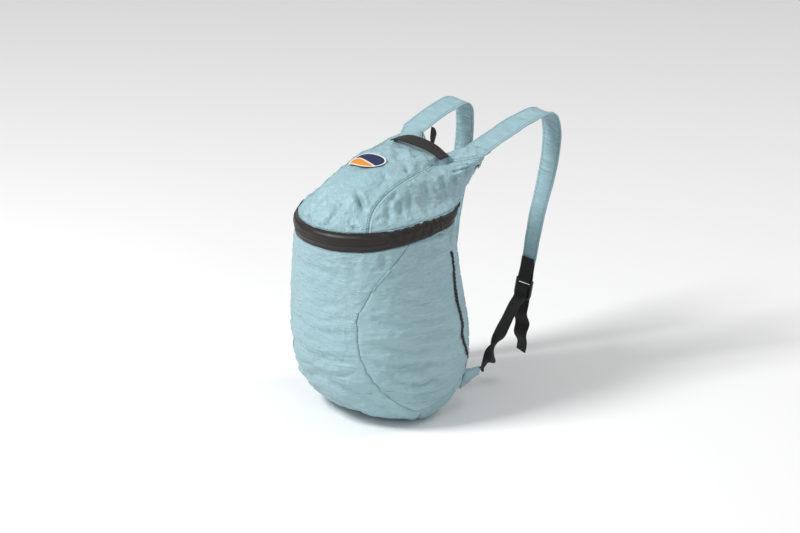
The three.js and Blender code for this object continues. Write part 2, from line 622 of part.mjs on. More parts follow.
// The elastic edge of each side pocket lies on the side panel in front of the back seam
const pocketEdge = [
  { loop: 3.4, turn: 124 },
  { loop: 3.9, turn: 122 },
  { loop: 4.4, turn: 118 },
  { loop: 5.2, turn: 114 },
  { loop: 6, turn: 112 },
  { loop: 6.6, turn: 114 },
  { loop: 6.95, turn: 116.5 },
];
for (const side of [1, -1]) {
  const stations = Array.from({ length: pocketSteps + 1 }, (_, k) => {
    const t = THREE.MathUtils.lerp(pocketEdge.at(-1).loop, pocketEdge[0].loop, k / pocketSteps);
    const turn = side * seamTurn(pocketEdge, t);
    const normal = sackNormal(t, turn);
    const point = sackPoint(t, turn).addScaledVector(normal, trimLift + trimThick / 2);
    const round = smoothPoint(t, turn + 0.01).sub(smoothPoint(t, turn - 0.01)).normalize();
    return { point, across: round, width: trimWidth };
  });
  add(`pocket_edge_${side > 0 ? "left" : "right"}`, webbing, ribbonSolid(stations, trimThick));
}

// The haul loop is sewn down on the hood at both ends and arches over the neckline between them
const haulHalfSpan = 56;
const haulForward = 63;
const haulRise = 10;
const haulLean = 25;
const haulPower = 2.6;
const haulLift = 2.3;
const haulGuess = { loop: 13.4, turn: 50 };
const haulSeat = [-1, 1].map((side) => {
  const target = new THREE.Vector3(side * haulHalfSpan, earEnd(1).y - haulForward, bagHeight);
  const guess = THREE.MathUtils.degToRad(side * haulGuess.turn);
  const near = placeNear(target, new THREE.Vector3(0, 0, 1), haulGuess.loop, guess);
  const out = sackNormal(near.t, near.turn);
  const point = sackPoint(near.t, near.turn).addScaledVector(out, haulLift + haulThick / 2);
  return { point, flat: new THREE.Vector3(0, 1, 0).projectOnPlane(out).normalize() };
});
const haul = Array.from({ length: haulSteps + 1 }, (_, k) => {
  const share = (2 * k) / haulSteps - 1;
  const arch = 1 - Math.abs(share) ** haulPower;
  const lean = THREE.MathUtils.degToRad(haulLean * arch);
  const point = haulSeat[0].point.clone().lerp(haulSeat[1].point, k / haulSteps);
  point.z += haulRise * arch;
  const leaning = new THREE.Vector3(0, Math.cos(lean), Math.sin(lean));
  const across = haulSeat[share < 0 ? 0 : 1].flat.clone().lerp(leaning, arch);
  return { point, across, width: haulWidth };
});
add("haul_loop", webbing, ribbonSolid(haul, haulThick));

// The badge is an oval of woven cloth laid on the hood
const badgePlace = { loop: 12.4, turn: -13 };
const badgeRings = 4;
const badgeSides = 24;
function badgeSolid() {
  const turn = THREE.MathUtils.degToRad(badgePlace.turn);
  const centre = smoothPoint(badgePlace.loop, turn);
  const out = sackNormal(badgePlace.loop, turn);
  const along = new THREE.Vector3(1, 0, 0).projectOnPlane(out).normalize();
  const up = out.clone().cross(along);
  const place = (ring, side, proud) => {
    const angle = (2 * Math.PI * side) / badgeSides;
    const share = ring / badgeRings / 2;
    const target = centre.clone().addScaledVector(along, share * badgeLength * Math.cos(angle));
    target.addScaledVector(up, share * badgeWidth * Math.sin(angle));
    const near = placeNear(target, out, badgePlace.loop, turn);
    return sackPoint(near.t, near.turn).addScaledVector(sackNormal(near.t, near.turn), proud);
  };
  const points = [];
  const triangles = [];
  const quad = (a, b, c, d) => triangles.push([a, b, c], [a, c, d]);
  const layer = 1 + badgeRings * badgeSides;
  const inRing = (ring, side) => (ring === 0 ? 0 : 1 + (ring - 1) * badgeSides + (side % badgeSides));
  const at = (which, ring, side) => which * layer + inRing(ring, side);
  for (const proud of [badgeLift + badgeThick, badgeLift]) {
    points.push(place(0, 0, proud));
    for (let ring = 1; ring <= badgeRings; ring++) {
      for (let side = 0; side < badgeSides; side++) points.push(place(ring, side, proud));
    }
  }
  for (let side = 0; side < badgeSides; side++) {
    triangles.push([at(0, 0, 0), at(0, 1, side), at(0, 1, side + 1)]);
    triangles.push([at(1, 0, 0), at(1, 1, side + 1), at(1, 1, side)]);
    for (let ring = 1; ring < badgeRings; ring++) {
      quad(at(0, ring, side), at(0, ring + 1, side), at(0, ring + 1, side + 1), at(0, ring, side + 1));
      quad(at(1, ring, side), at(1, ring, side + 1), at(1, ring + 1, side + 1), at(1, ring + 1, side));
    }
    const rim = [at(0, badgeRings, side), at(1, badgeRings, side)];
    quad(...rim, at(1, badgeRings, side + 1), at(0, badgeRings, side + 1));
  }
  return solid(points, triangles);
}
add("badge", badgeCloth, badgeSolid());

// A loop of webbing hangs behind the neckline under the right ear
const hangRoute = [
  { back: 0.35, drop: 0.02 },
  { back: 0.6, drop: 0.12 },
  { back: 0.8, drop: 0.4 },
  { back: 0.75, drop: 0.8 },
  { back: 0.5, drop: 1 },
  { back: 0.28, drop: 0.8 },
  { back: 0.22, drop: 0.5 },
];
const hangDrop = 34;
const hangReach = 22;
const hangWidth = 24;
const hangUnder = 1;
const hangForward = 5;
const hangStart = earEnd(-1).add(new THREE.Vector3(0, -hangForward, -hangUnder));
const hangRows = hangRoute.map((row) => ({
  point: hangStart.clone().add(new THREE.Vector3(0, row.back * hangReach, -row.drop * hangDrop)),
  across: new THREE.Vector3(1, 0, 0),
  width: hangWidth,
}));
add("hanging_loop", webbing, ribbonSolid(smoothStations(hangRows, hangSteps), haulThick));

// The zip slider rests at the closed end of the zip on the right side
const sliderPlace = { loop: (zipLow + zipHigh) / 2, turn: THREE.MathUtils.degToRad(-112) };
const sliderStep = 0.05;
const sliderOut = sackNormal(sliderPlace.loop, sliderPlace.turn);
const sliderAlong = smoothPoint(sliderPlace.loop, sliderPlace.turn - sliderStep)
  .sub(smoothPoint(sliderPlace.loop, sliderPlace.turn + sliderStep))
  .normalize();
const slider = new THREE.BoxGeometry(sliderLength, sliderWidth, sliderThick);
const sliderSeat = sackPoint(sliderPlace.loop, sliderPlace.turn);
sliderSeat.addScaledVector(sliderOut, zipProud + badgeLift + sliderThick / 2);
const sliderUp = sliderOut.clone().cross(sliderAlong);
const sliderMatrix = new THREE.Matrix4().makeBasis(sliderAlong, sliderUp, sliderOut);
sliderMatrix.setPosition(sliderSeat);
slider.deleteAttribute("normal");
slider.deleteAttribute("uv");
add("zip_slider", plastic, slider.applyMatrix4(sliderMatrix));

// The origin is midway between the undersides of the two strap crowns, where the wearer's shoulders are
const crownRow = strapRoute.find((row) => row.rise === 1);
const crownHeight = earEnd(1).z + (nearStrapRise + farStrapRise) / 2 - strapThick / 2;
const crownReach = earEnd(1).y + (crownRow.reach * (nearStrapReach + farStrapReach)) / 2;
bag.position.set(0, -crownReach, -crownHeight);

export default bag;
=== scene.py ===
import math
import bmesh
import bpy
import numpy as np
from mathutils import Matrix, Vector, kdtree, noise
from mathutils.bvhtree import BVHTree


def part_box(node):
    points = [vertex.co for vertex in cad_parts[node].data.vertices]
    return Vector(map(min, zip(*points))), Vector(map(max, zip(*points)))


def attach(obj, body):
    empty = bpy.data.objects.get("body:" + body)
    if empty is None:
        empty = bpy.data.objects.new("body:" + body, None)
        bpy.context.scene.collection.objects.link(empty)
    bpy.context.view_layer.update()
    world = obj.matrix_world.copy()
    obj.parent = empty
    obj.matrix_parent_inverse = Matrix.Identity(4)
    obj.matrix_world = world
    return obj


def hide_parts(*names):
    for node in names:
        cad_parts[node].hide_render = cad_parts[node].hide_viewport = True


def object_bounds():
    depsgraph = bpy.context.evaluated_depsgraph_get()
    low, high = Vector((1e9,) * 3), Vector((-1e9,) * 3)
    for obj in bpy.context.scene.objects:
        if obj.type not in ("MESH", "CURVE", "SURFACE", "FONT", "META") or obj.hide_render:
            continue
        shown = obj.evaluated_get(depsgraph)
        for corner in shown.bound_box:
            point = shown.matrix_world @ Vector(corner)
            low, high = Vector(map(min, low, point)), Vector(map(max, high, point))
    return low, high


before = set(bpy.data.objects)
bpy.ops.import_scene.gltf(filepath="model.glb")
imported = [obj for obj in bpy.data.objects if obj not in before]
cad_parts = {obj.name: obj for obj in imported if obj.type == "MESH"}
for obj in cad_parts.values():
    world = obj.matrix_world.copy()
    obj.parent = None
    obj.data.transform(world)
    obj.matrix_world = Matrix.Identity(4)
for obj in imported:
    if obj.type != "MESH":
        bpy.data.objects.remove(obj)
cad_low, cad_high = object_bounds()

# The camera looks from the bag's front left corner and a little above it, as the photograph's did.
# It stands far off with a long lens, because the photograph shows hardly any perspective.
azimuth, elevation = math.radians(47), math.radians(21)
aim = Vector((0.026, -0.227, -0.199))
standoff = 9.0
level_off = math.cos(elevation)
towards_camera = Vector((math.sin(azimuth) * level_off, -math.cos(azimuth) * level_off, math.sin(elevation)))
camera = bpy.data.objects.new("camera", bpy.data.cameras.new("camera"))
camera.data.lens = 263.2
camera.location = aim + towards_camera * standoff
camera.rotation_euler = towards_camera.to_track_quat("Z", "Y").to_euler()
bpy.context.scene.collection.objects.link(camera)
bpy.context.scene.camera = camera
photo_width, photo_height = 800, 533


def photo_ray(u, v):
    """The way from the camera to a pixel of the photograph."""
    half = camera.data.sensor_width / 2 / camera.data.lens
    across = (u - photo_width / 2) / (photo_width / 2) * half
    up = (photo_height / 2 - v) / (photo_width / 2) * half
    turned = camera.rotation_euler.to_matrix()
    return (turned @ Vector((across, up, -1))).normalized()


# Soft studio light: a wide key from the upper left of the picture, a weak fill from the right and a pale sky.
world = bpy.data.worlds.new("sky")
world.use_nodes = True
world.node_tree.nodes["Background"].inputs["Color"].default_value = (1, 1, 1, 1)
world.node_tree.nodes["Background"].inputs["Strength"].default_value = 0.42
bpy.context.scene.world = world
bpy.context.scene.view_settings.view_transform = "Standard"

for name, place, power, size in [
    ("key", (-0.7, -1.9, 2.1), 74, 0.8),
    ("fill", (2.6, -1.2, 1.3), 9, 1.0),
    ("rim", (0.9, 1.9, 1.9), 16, 1.0),
]:
    lamp = bpy.data.objects.new(name, bpy.data.lights.new(name, "AREA"))
    lamp.data.energy = power
    lamp.data.size = size
    lamp.location = aim + Vector(place)
    lamp.rotation_euler = Vector(place).to_track_quat("Z", "Y").to_euler()
    bpy.context.scene.collection.objects.link(lamp)


# The sack is sewn from seven panels of thin crinkled nylon round one hollow, seams turned inside.
# Each panel starts from the outer face of its solid. All are joined at the seams, creased together as one
# cloth and parted again.
panel_names = ["front_panel", "side_panel_left", "side_panel_right", "back_panel",
               "top_panel", "hood_side_left", "hood_side_right"]
hood_names = panel_names[4:]
weld = 0.0007
same_corner = 2e-5
sack_heart = Vector((0, cad_low.y + 0.125, cad_low.z + 0.2))
thickest_sheet = 0.0035
cloth_thickness = 0.0009


def outer_side(node):
    """A sheet's outer face, in quads: the faces that look out and have the sheet's back close behind."""
    sheet = bmesh.new()
    sheet.from_mesh(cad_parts[node].data)
    bmesh.ops.remove_doubles(sheet, verts=sheet.verts, dist=same_corner)
    bmesh.ops.recalc_face_normals(sheet, faces=sheet.faces)
    skin = BVHTree.FromBMesh(sheet)
    outer = set()
    for face in sheet.faces:
        middle = face.calc_center_median()
        gap = skin.ray_cast(middle - face.normal * 1e-5, -face.normal)[3]
        if face.normal.dot(middle - sack_heart) > 0 and gap is not None and gap < thickest_sheet:
            outer.add(face)
    sides = []
    left = set(outer)
    for start in sheet.faces:
        if start in left:
            left.discard(start)
            side = [start]
            for face in side:
                for other in [other for edge in face.edges for other in edge.link_faces]:
                    if other in left:
                        left.discard(other)
                        side.append(other)
            sides.append(side)
    kept = set(max(sides, key=len))
    bmesh.ops.delete(sheet, geom=[face for face in sheet.faces if face not in kept], context="FACES")
    bmesh.ops.join_triangles(sheet, faces=sheet.faces[:], angle_face_threshold=math.pi,
                             angle_shape_threshold=math.pi)
    return sheet


def new_piece(name, shape):
    """An object made of a bmesh, which is then freed."""
    piece = bpy.data.objects.new(name, bpy.data.meshes.new(name))
    shape.to_mesh(piece.data)
    shape.free()
    bpy.context.scene.collection.objects.link(piece)
    return piece


def round_off(piece, levels):
    """The piece is subdivided, and its modifiers are applied."""
    rounding = piece.modifiers.new("rounding", "SUBSURF")
    rounding.levels = levels
    rounding.render_levels = levels
    depsgraph = bpy.context.evaluated_depsgraph_get()
    made = bpy.data.meshes.new_from_object(piece.evaluated_get(depsgraph))
    piece.modifiers.clear()
    piece.data = made


def give_wall(piece, thickness, offset):
    """A sheet gets its thickness: to the inside at an offset of -1, or half to each side at 0."""
    wall = piece.modifiers.new("wall", "SOLIDIFY")
    wall.thickness = thickness
    wall.offset = offset


def dress(piece, material, body_slot, *nodes):
    """A finished piece takes its material, rides on the one body and stands for its solids."""
    piece.data.materials.clear()
    piece.data.materials.append(material)
    piece.data.polygons.foreach_set("material_index", [0] * len(piece.data.polygons))
    piece.data.polygons.foreach_set("use_smooth", [True] * len(piece.data.polygons))
    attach(piece, "root")
    if nodes:
        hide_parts(*nodes)


def chains(edges):
    """Edges put in order as lines of points, one line for each run of edges."""
    links = {}
    for edge in edges:
        a, b = edge.verts
        links.setdefault(a, []).append(b)
        links.setdefault(b, []).append(a)
    lines = []
    left = set(links)
    while left:
        ends = [v for v in left if len(links[v]) == 1] or list(left)
        here = min(ends, key=lambda v: v.index)
        line = []
        while here is not None:
            line.append(here.co.copy())
            left.discard(here)
            here = next((v for v in links[here] if v in left), None)
        lines.append(line)
    return lines


sack = bmesh.new()
for index, name in enumerate(panel_names):
    side = outer_side(name)
    for face in side.faces:
        face.material_index = index
    part = bpy.data.meshes.new(name)
    side.to_mesh(part)
    side.free()
    sack.from_mesh(part)
    bpy.data.meshes.remove(part)
bmesh.ops.remove_doubles(sack, verts=sack.verts, dist=weld)
bmesh.ops.delete(sack, geom=[e for e in sack.edges if e.is_wire], context="EDGES")
bmesh.ops.delete(sack, geom=[v for v in sack.verts if not v.link_faces], context="VERTS")
bmesh.ops.holes_fill(sack, edges=[e for e in sack.edges if e.is_boundary], sides=8)

# The hems of the hood and of the back meet along the neckline and the ears, where they are sewn together.
# Near the straps they stay further apart, as each strap is sewn in between them.
hem_blend = 0.022
hem_share, strap_room, strap_reach = 0.46, 0.34, 0.032
neck_low = cad_low.z + 0.365
back_index = panel_names.index("back_panel")
hood_set = {panel_names.index(name) for name in hood_names}
rim = [v for v in sack.verts if v.is_boundary and v.co.z > neck_low]
upper = [v for v in rim if any(f.material_index in hood_set for f in v.link_faces)]
lower = [v for v in rim if any(f.material_index == back_index for f in v.link_faces)]


def point_finder(points):
    """A tree that finds the nearest of some points."""
    finder = kdtree.KDTree(len(points))
    for k, point in enumerate(points):
        finder.insert(point, k)
    finder.balance()
    return finder


def closest_on(point, a, b):
    """The point of the line from a to b that is closest to a point."""
    along = b - a
    share = max(0, min(1, (point - a).dot(along) / max(along.length_squared, 1e-12)))
    return a + along * share


hems = {
    kind: [(e.verts[0].co.copy(), e.verts[1].co.copy()) for e in sack.edges
           if e.is_boundary and e.verts[0] in group and e.verts[1] in group]
    for kind, group in (("upper", set(upper)), ("lower", set(lower)))
}
strap_roots = [Vector((side * 0.0875, -0.0885, -0.0285)) for side in (1, -1)]


def hem_pull(point, other_hem):
    """The move that brings a hem half way to the other, less where a strap lies between the two."""
    strap_gap = min((point - root).length for root in strap_roots)
    share = hem_share - strap_room * math.exp(-((strap_gap / strap_reach) ** 2))
    nearest = min((closest_on(point, *ends) for ends in other_hem), key=lambda there: (there - point).length)
    return (nearest - point) * share


pulls = [(v.co.copy(), hem_pull(v.co, hems["lower"])) for v in upper]
pushes = [(v.co.copy(), hem_pull(v.co, hems["upper"])) for v in lower]
for moves, inside in ((pulls, lambda i: i in hood_set), (pushes, lambda i: i == back_index)):
    finder = point_finder([place for place, move in moves])
    for v in sack.verts:
        sides = [inside(f.material_index) for f in v.link_faces]
        if (all(sides) or v.is_boundary and any(sides)) and v.co.z > neck_low - 0.03:
            place, k, gap = finder.find(v.co)
            if gap < 3 * hem_blend:
                v.co += moves[k][1] * math.exp(-((gap / hem_blend) ** 2))

sack = new_piece("sack", sack)
round_off(sack, 3)

# The single creases of the cloth: both ends as read in the photograph, in its pixels, then a width and a
# depth in millimetres. Each is pressed into both halves of the sack, as the far half isn't seen.
crease_widening, crease_deepening, crease_shoulder = 1.15, 1.6, 0.38
creases = [
    {"start": (357, 193), "end": (364, 211), "width": 3.4, "depth": 4.5},
    {"start": (389, 203), "end": (397, 192), "width": 3.6, "depth": 3.0},
    {"start": (376, 221), "end": (383, 217), "width": 3.0, "depth": 2.2},
    {"start": (351, 224), "end": (359, 231), "width": 3.2, "depth": 2.4},
    {"start": (400, 197), "end": (403, 220), "width": 5.0, "depth": 2.4},
    {"start": (409, 192), "end": (412, 216), "width": 5.0, "depth": 2.2},
    {"start": (389, 207), "end": (388, 228), "width": 4.5, "depth": 2.6},
    {"start": (335, 216), "end": (324, 229), "width": 5.0, "depth": 2.0},
    {"start": (318, 200), "end": (308, 222), "width": 6.0, "depth": 1.8},
    {"start": (343, 196), "end": (338, 214), "width": 6.0, "depth": 1.8},
    {"start": (382, 173), "end": (389, 180), "width": 4.0, "depth": 2.6},
    {"start": (406, 165), "end": (409, 174), "width": 3.6, "depth": 3.0},
    {"start": (413, 152), "end": (420, 170), "width": 4.5, "depth": 3.2},
    {"start": (396, 150), "end": (402, 163), "width": 5.0, "depth": 2.2},
    {"start": (424, 178), "end": (428, 200), "width": 5.0, "depth": 2.4},
    {"start": (442, 174), "end": (444, 190), "width": 4.5, "depth": 2.4},
    {"start": (455, 168), "end": (455, 188), "width": 4.0, "depth": 2.0},
    {"start": (469, 164), "end": (467, 177), "width": 4.0, "depth": 2.2},
    {"start": (473, 155), "end": (477, 162), "width": 3.0, "depth": 2.4},
    {"start": (446, 158), "end": (452, 149), "width": 3.5, "depth": 2.2},
    {"start": (453, 218), "end": (460.5, 210.5), "width": 2.6, "depth": 5.0},
    {"start": (447, 222), "end": (454, 216.5), "width": 2.2, "depth": 3.0},
    {"start": (444, 227.5), "end": (449, 224.5), "width": 2.4, "depth": 4.0},
    {"start": (437.5, 236), "end": (442.5, 234), "width": 2.4, "depth": 3.6},
    {"start": (450, 229), "end": (451, 244), "width": 3.2, "depth": 3.0},
    {"start": (438, 241), "end": (427, 248), "width": 3.2, "depth": 2.2},
    {"start": (441, 246), "end": (422, 258), "width": 4.5, "depth": 2.0},
    {"start": (399, 300), "end": (437, 304), "width": 6.0, "depth": 1.6},
    {"start": (377, 322), "end": (413, 330), "width": 6.0, "depth": 1.8},
    {"start": (418, 336), "end": (456, 330), "width": 6.0, "depth": 2.0},
    {"start": (372, 345), "end": (408, 352), "width": 6.0, "depth": 2.2},
    {"start": (394, 366), "end": (440, 362), "width": 6.5, "depth": 2.4},
    {"start": (407, 384), "end": (446, 377), "width": 6.5, "depth": 2.4},
    {"start": (405, 397), "end": (438, 392), "width": 5.0, "depth": 2.0},
    {"start": (300, 345), "end": (345, 365), "width": 7.0, "depth": 2.0},
    {"start": (318, 330), "end": (352, 338), "width": 6.0, "depth": 1.6},
    {"start": (322, 376), "end": (372, 396), "width": 7.0, "depth": 2.4},
    {"start": (345, 392), "end": (398, 408), "width": 7.0, "depth": 2.2},
    {"start": (296, 262), "end": (318, 270), "width": 7.0, "depth": 1.4},
    {"start": (352, 255), "end": (356, 285), "width": 7.0, "depth": 1.4},
    {"start": (382, 252), "end": (386, 268), "width": 4.5, "depth": 1.8},
]


def pressed(place, finder):
    """How far each crease moves each point along its normal, summed."""
    total = np.zeros(len(place))
    for row in creases:
        ends = []
        for pixel in (row["start"], row["end"]):
            hit = finder.ray_cast(camera.location, photo_ray(*pixel))[0]
            if hit is not None:
                ends.append(np.array(hit))
        if len(ends) < 2:
            continue
        width, depth = crease_widening * row["width"] / 1000, crease_deepening * row["depth"] / 1000
        for flip in (1, -1):
            a, b = (end * np.array((flip, 1, 1)) for end in ends)
            along = b - a
            share = np.clip((place - a) @ along / (along @ along), 0, 1)
            gap = np.linalg.norm(place - a - share[:, None] * along, axis=1)
            taper = np.clip(1.25 - np.abs(2 * share - 1), 0, 1)
            total -= depth * taper * np.exp(-((gap / width) ** 2))
            total += crease_shoulder * depth * taper * np.exp(-(((gap - 2.1 * width) / width) ** 2))
    return total


shape = bmesh.new()
shape.from_mesh(sack.data)
shape.verts.index_update()
seam_edges = [e for e in shape.edges
              if e.is_boundary or e.link_faces[0].material_index != e.link_faces[-1].material_index]
seam_points = list({v.index: v.co.copy() for e in seam_edges for v in e.verts}.values())
seam_finder = point_finder(seam_points)
place = np.array([v.co[:] for v in shape.verts])
press = pressed(place, BVHTree.FromBMesh(shape))
sack_middle = cad_low.y + 0.132
sack_radius = 0.115
hood_from, hood_to = cad_low.z + 0.30, cad_low.z + 0.335
neck_from = hood_to + 0.045
belly_fold, thin_fold, side_pleat, top_rumple = 0.0060, 0.0024, 0.0042, 0.0050
small_crumple, fine_crumple = 0.0022, 0.0012
pucker_height, pucker_reach = 0.0022, 0.011
valley_depth, valley_width, seam_calm = 0.0011, 0.0022, 0.006


def smooth_share(value, low, high):
    """The share of the way from low to high, with a soft start and end."""
    share = max(0.0, min(1.0, (value - low) / (high - low)))
    return share * share * (3 - 2 * share)


def crumple(point, out):
    """Folds that run round the belly and down the hood's sides, with small crumples over all, in metres."""
    round_bag = math.atan2(point.x, sack_middle - point.y) * sack_radius
    hood = smooth_share(point.z, hood_from, hood_to)
    top = hood * smooth_share(out.z, 0.5, 0.8)
    wander = noise.noise(point * 14) * 0.35
    belly = noise.noise(Vector((round_bag * 13 + wander, point.z * 52 + wander * 3, 3.7)))
    thin = noise.noise(Vector((round_bag * 24 + wander * 2, point.z * 135 + wander * 5, 1.2)))
    pleat = noise.noise(Vector((wander * 2 + out.x, point.y * 60 + wander * 3, point.z * 14)))
    rumple = noise.noise(Vector((point.x * 34 + wander * 4, point.y * 26 - wander * 3, 5.5)))
    lower = 1 - smooth_share(point.z, cad_low.z + 0.03, cad_low.z + 0.24) * 0.62
    fold = (1 - hood) * lower * ((abs(belly) ** 0.7 - 0.3) * belly_fold + (0.22 - abs(thin)) * thin_fold)
    fold += (hood - top) * (abs(pleat) ** 0.7 - 0.3) * side_pleat
    fold += top * (0.3 - abs(rumple) ** 0.8) * top_rumple
    small = 0.2 - abs(noise.noise(point * 70 + Vector((5, 1, 7))))
    fine = 0.2 - abs(noise.noise(point * 165))
    return fold + small * small_crumple + fine * fine_crumple


for v, move in zip(shape.verts, press):
    near, _, gap = seam_finder.find(v.co)
    pucker = noise.noise(near * 95 + Vector((0, 0, 4))) * pucker_height * math.exp(-gap / pucker_reach)
    valley = -valley_depth * math.exp(-((gap / valley_width) ** 2))
    swell = 1 - math.exp(-((gap / seam_calm) ** 2))
    v.co += v.normal * (move * swell + pucker * swell + valley + crumple(v.co, v.normal) * swell)
shape.normal_update()
sack_skin = BVHTree.FromBMesh(shape)


def seam_between(one, other):
    """The seams between two panels, as lines of points."""
    pair = {panel_names.index(one), panel_names.index(other)}
    return chains([e for e in seam_edges if {f.material_index for f in e.link_faces} == pair])


open_edges = [(e, e.link_faces[0].material_index in hood_set, e.link_faces[0].material_index < back_index,
               max(v.co.z for v in e.verts)) for e in seam_edges if e.is_boundary]
seams = {
    "ridge": seam_between("top_panel", "hood_side_left") + seam_between("top_panel", "hood_side_right"),
    "lens": seam_between("front_panel", "side_panel_left") + seam_between("front_panel", "side_panel_right"),
    "hood_hem": chains([e for e, on_hood, on_belly, height in open_edges if on_hood and height < neck_from]),
    "neck": chains([e for e, on_hood, on_belly, height in open_edges if on_hood and height >= neck_from]),
    "belly_hem": chains([e for e, on_hood, on_belly, height in open_edges
                         if on_belly and height > cad_low.z + 0.25]),
}


class Wire:
    """An output of a shader's node. Sums, differences and products of wires become Math nodes."""

    def __init__(self, tree, socket=None):
        self.tree = tree
        self.socket = socket

    def node(self, kind, settings=None, sockets=None, out=0):
        made = self.tree.nodes.new(kind)
        for name, value in (settings or {}).items():
            setattr(made, name, value)
        for name, value in (sockets or {}).items():
            if isinstance(value, Wire):
                self.tree.links.new(value.socket, made.inputs[name])
            else:
                made.inputs[name].default_value = value
        return Wire(self.tree, made.outputs[out])

    def maths(self, operation, *values):
        return self.node("ShaderNodeMath", {"operation": operation}, dict(enumerate(values)))

    def __add__(self, other):
        return self.maths("ADD", self, other)

    def __sub__(self, other):
        return self.maths("SUBTRACT", self, other)

    def __mul__(self, other):
        return self.maths("MULTIPLY", self, other)

    def __radd__(self, other):
        return self.maths("ADD", other, self)

    def __rsub__(self, other):
        return self.maths("SUBTRACT", other, self)

    def __rmul__(self, other):
        return self.maths("MULTIPLY", other, self)

    def sine(self):
        return self.maths("SINE", self)

    def part(self, axis):
        """One axis of a vector."""
        return self.node("ShaderNodeSeparateXYZ", {}, {"Vector": self}, axis)

    def between(self, low, high):
        """The share of the way from low to high, held between 0 and 1."""
        return self.node("ShaderNodeMapRange", {}, {"Value": self, "From Min": low, "From Max": high})

    def mix(self, dark, light):
        """A colour between two, by this share."""
        return self.node("ShaderNodeMix", {"data_type": "RGBA"}, {0: self, 6: dark, 7: light}, 2)


def finish(name, make, **steady):
    """A material whose changing sockets come from make, and whose steady ones are set on the shader."""
    material = bpy.data.materials.new(name)
    material.use_nodes = True
    tree = material.node_tree
    shader = tree.nodes["Principled BSDF"]
    for socket, value in steady.items():
        shader.inputs[socket.replace("_", " ")].default_value = value
    for socket, wire in make(Wire(tree)).items():
        tree.links.new(wire.socket, shader.inputs[socket])
    return material


def plain(wire):
    """Nothing changes over the surface."""
    return {}


def nylon(wire, sack=True):
    """Thin crinkled nylon: creased level round the belly and upright on the hood, glossy on the folds. Its
    colour has painted shade in the crease valleys and painted highlight on the fold ridges, mixed with the
    cloth's own mottle.
    """
    place = wire.node("ShaderNodeTexCoord", out=3)
    hood = place.part(2).between(hood_from, hood_to) if sack else 0.0
    warp = wire.node("ShaderNodeTexNoise", {}, {"Vector": place, "Scale": 9.0, "Detail": 2.0})
    level = wire.node("ShaderNodeMapping", {}, {"Vector": place, "Scale": (1.0, 1.0, 5.0)})
    upright = wire.node("ShaderNodeMapping", {}, {"Vector": place, "Scale": (2.4, 2.4, 0.9)})
    way = wire.node("ShaderNodeMix", {"data_type": "VECTOR"}, {0: hood, 4: level, 5: upright}, 1)
    ridged = {"noise_type": "RIDGED_MULTIFRACTAL"}
    fold = wire.node("ShaderNodeTexNoise", ridged,
                     {"Vector": way, "Scale": 30.0, "Detail": 5.0, "Roughness": 0.55, "Distortion": 0.4})
    crinkle = wire.node("ShaderNodeTexNoise", ridged,
                        {"Vector": way, "Scale": 85.0, "Detail": 4.0, "Roughness": 0.6, "Distortion": 0.5})
    grain = wire.node("ShaderNodeTexNoise", {}, {"Vector": place, "Scale": 420.0, "Detail": 4.0})
    flat = wire.node("ShaderNodeMapping", {}, {"Vector": place, "Scale": (60.0, 60.0, 1100.0)})
    thread = wire.node("ShaderNodeTexNoise", {}, {"Vector": flat, "Scale": 1.0, "Detail": 2.0})
    height = fold * 0.55 + crinkle * 0.30 + grain * 0.06 + thread * 0.06 + warp * 0.3
    bump = wire.node("ShaderNodeBump", {}, {"Strength": 1.0, "Distance": 0.0042, "Height": height})
    # The colour follows the folds and crinkles: painted shade in their valleys and painted highlight on their
    # ridges. The grain, thread and slow warp add the cloth's own mottle.
    painted_fold_shading_and_mottle = (crinkle * 0.3 + fold * 0.3 + grain * 0.25 + thread * 0.2 + warp * 0.2).between(0.3, 1.1)
    colour = painted_fold_shading_and_mottle.mix((0.275, 0.43, 0.475, 1), (0.47, 0.66, 0.715, 1))
    return {"Base Color": colour, "Normal": bump, "Roughness": 0.52 - painted_fold_shading_and_mottle * 0.2}


nylon_finish = finish("nylon", nylon, Specular_IOR_Level=0.5, Sheen_Weight=0.1, Sheen_Roughness=0.4)
strap_finish = finish("strap_nylon", lambda wire: nylon(wire, sack=False), Specular_IOR_Level=0.5,
                      Sheen_Weight=0.1, Sheen_Roughness=0.4)
for index, name in enumerate(panel_names):
    part = shape.copy()
    bmesh.ops.delete(part, geom=[f for f in part.faces if f.material_index != index], context="FACES")
    panel = new_piece(name + "_cloth", part)
    give_wall(panel, cloth_thickness, -1)
    dress(panel, nylon_finish, "nylon_cloth", name)
shape.free()
bpy.data.objects.remove(sack)


# Rows of lockstitch in a thread a little darker than the cloth, about nine stitches to the inch.
# Each stitch is a small bead laid along its row and sunk half into the cloth.
stitch_pitch, stitch_long, stitch_wide = 0.0026, 0.0020, 0.00045


def evenly(line, pitch):
    """Points and directions at equal steps along a line of points."""
    made = []
    left = 0.0
    for a, b in zip(line, line[1:]):
        span = (b - a).length
        while left < span:
            made.append((a.lerp(b, left / span), (b - a).normalized()))
            left += pitch
        left -= span
    return made


def stitches(name, spots, thread, body_slot, long=stitch_long, wide=stitch_wide):
    """One piece of small beads. Each spot is a point, the way along the row and the way out of the cloth."""
    bead = bmesh.new()
    bmesh.ops.create_uvsphere(bead, u_segments=6, v_segments=4, radius=1)
    bead.verts.index_update()
    corners = np.array([v.co[:] for v in bead.verts])
    faces = [[v.index for v in face.verts] for face in bead.faces]
    bead.free()
    places = []
    for point, along, out in spots:
        side = out.cross(along).normalized()
        along = side.cross(out).normalized()
        turned = np.array((along * long / 2, side * wide, out * wide))
        places.append(corners @ turned + np.array(point))
    count = len(corners)
    piece = bpy.data.objects.new(name, bpy.data.meshes.new(name))
    piece.data.from_pydata(np.concatenate(places), [],
                           [[i + k * count for i in face] for k in range(len(places)) for face in faces])
    bpy.context.scene.collection.objects.link(piece)
    dress(piece, thread, body_slot)


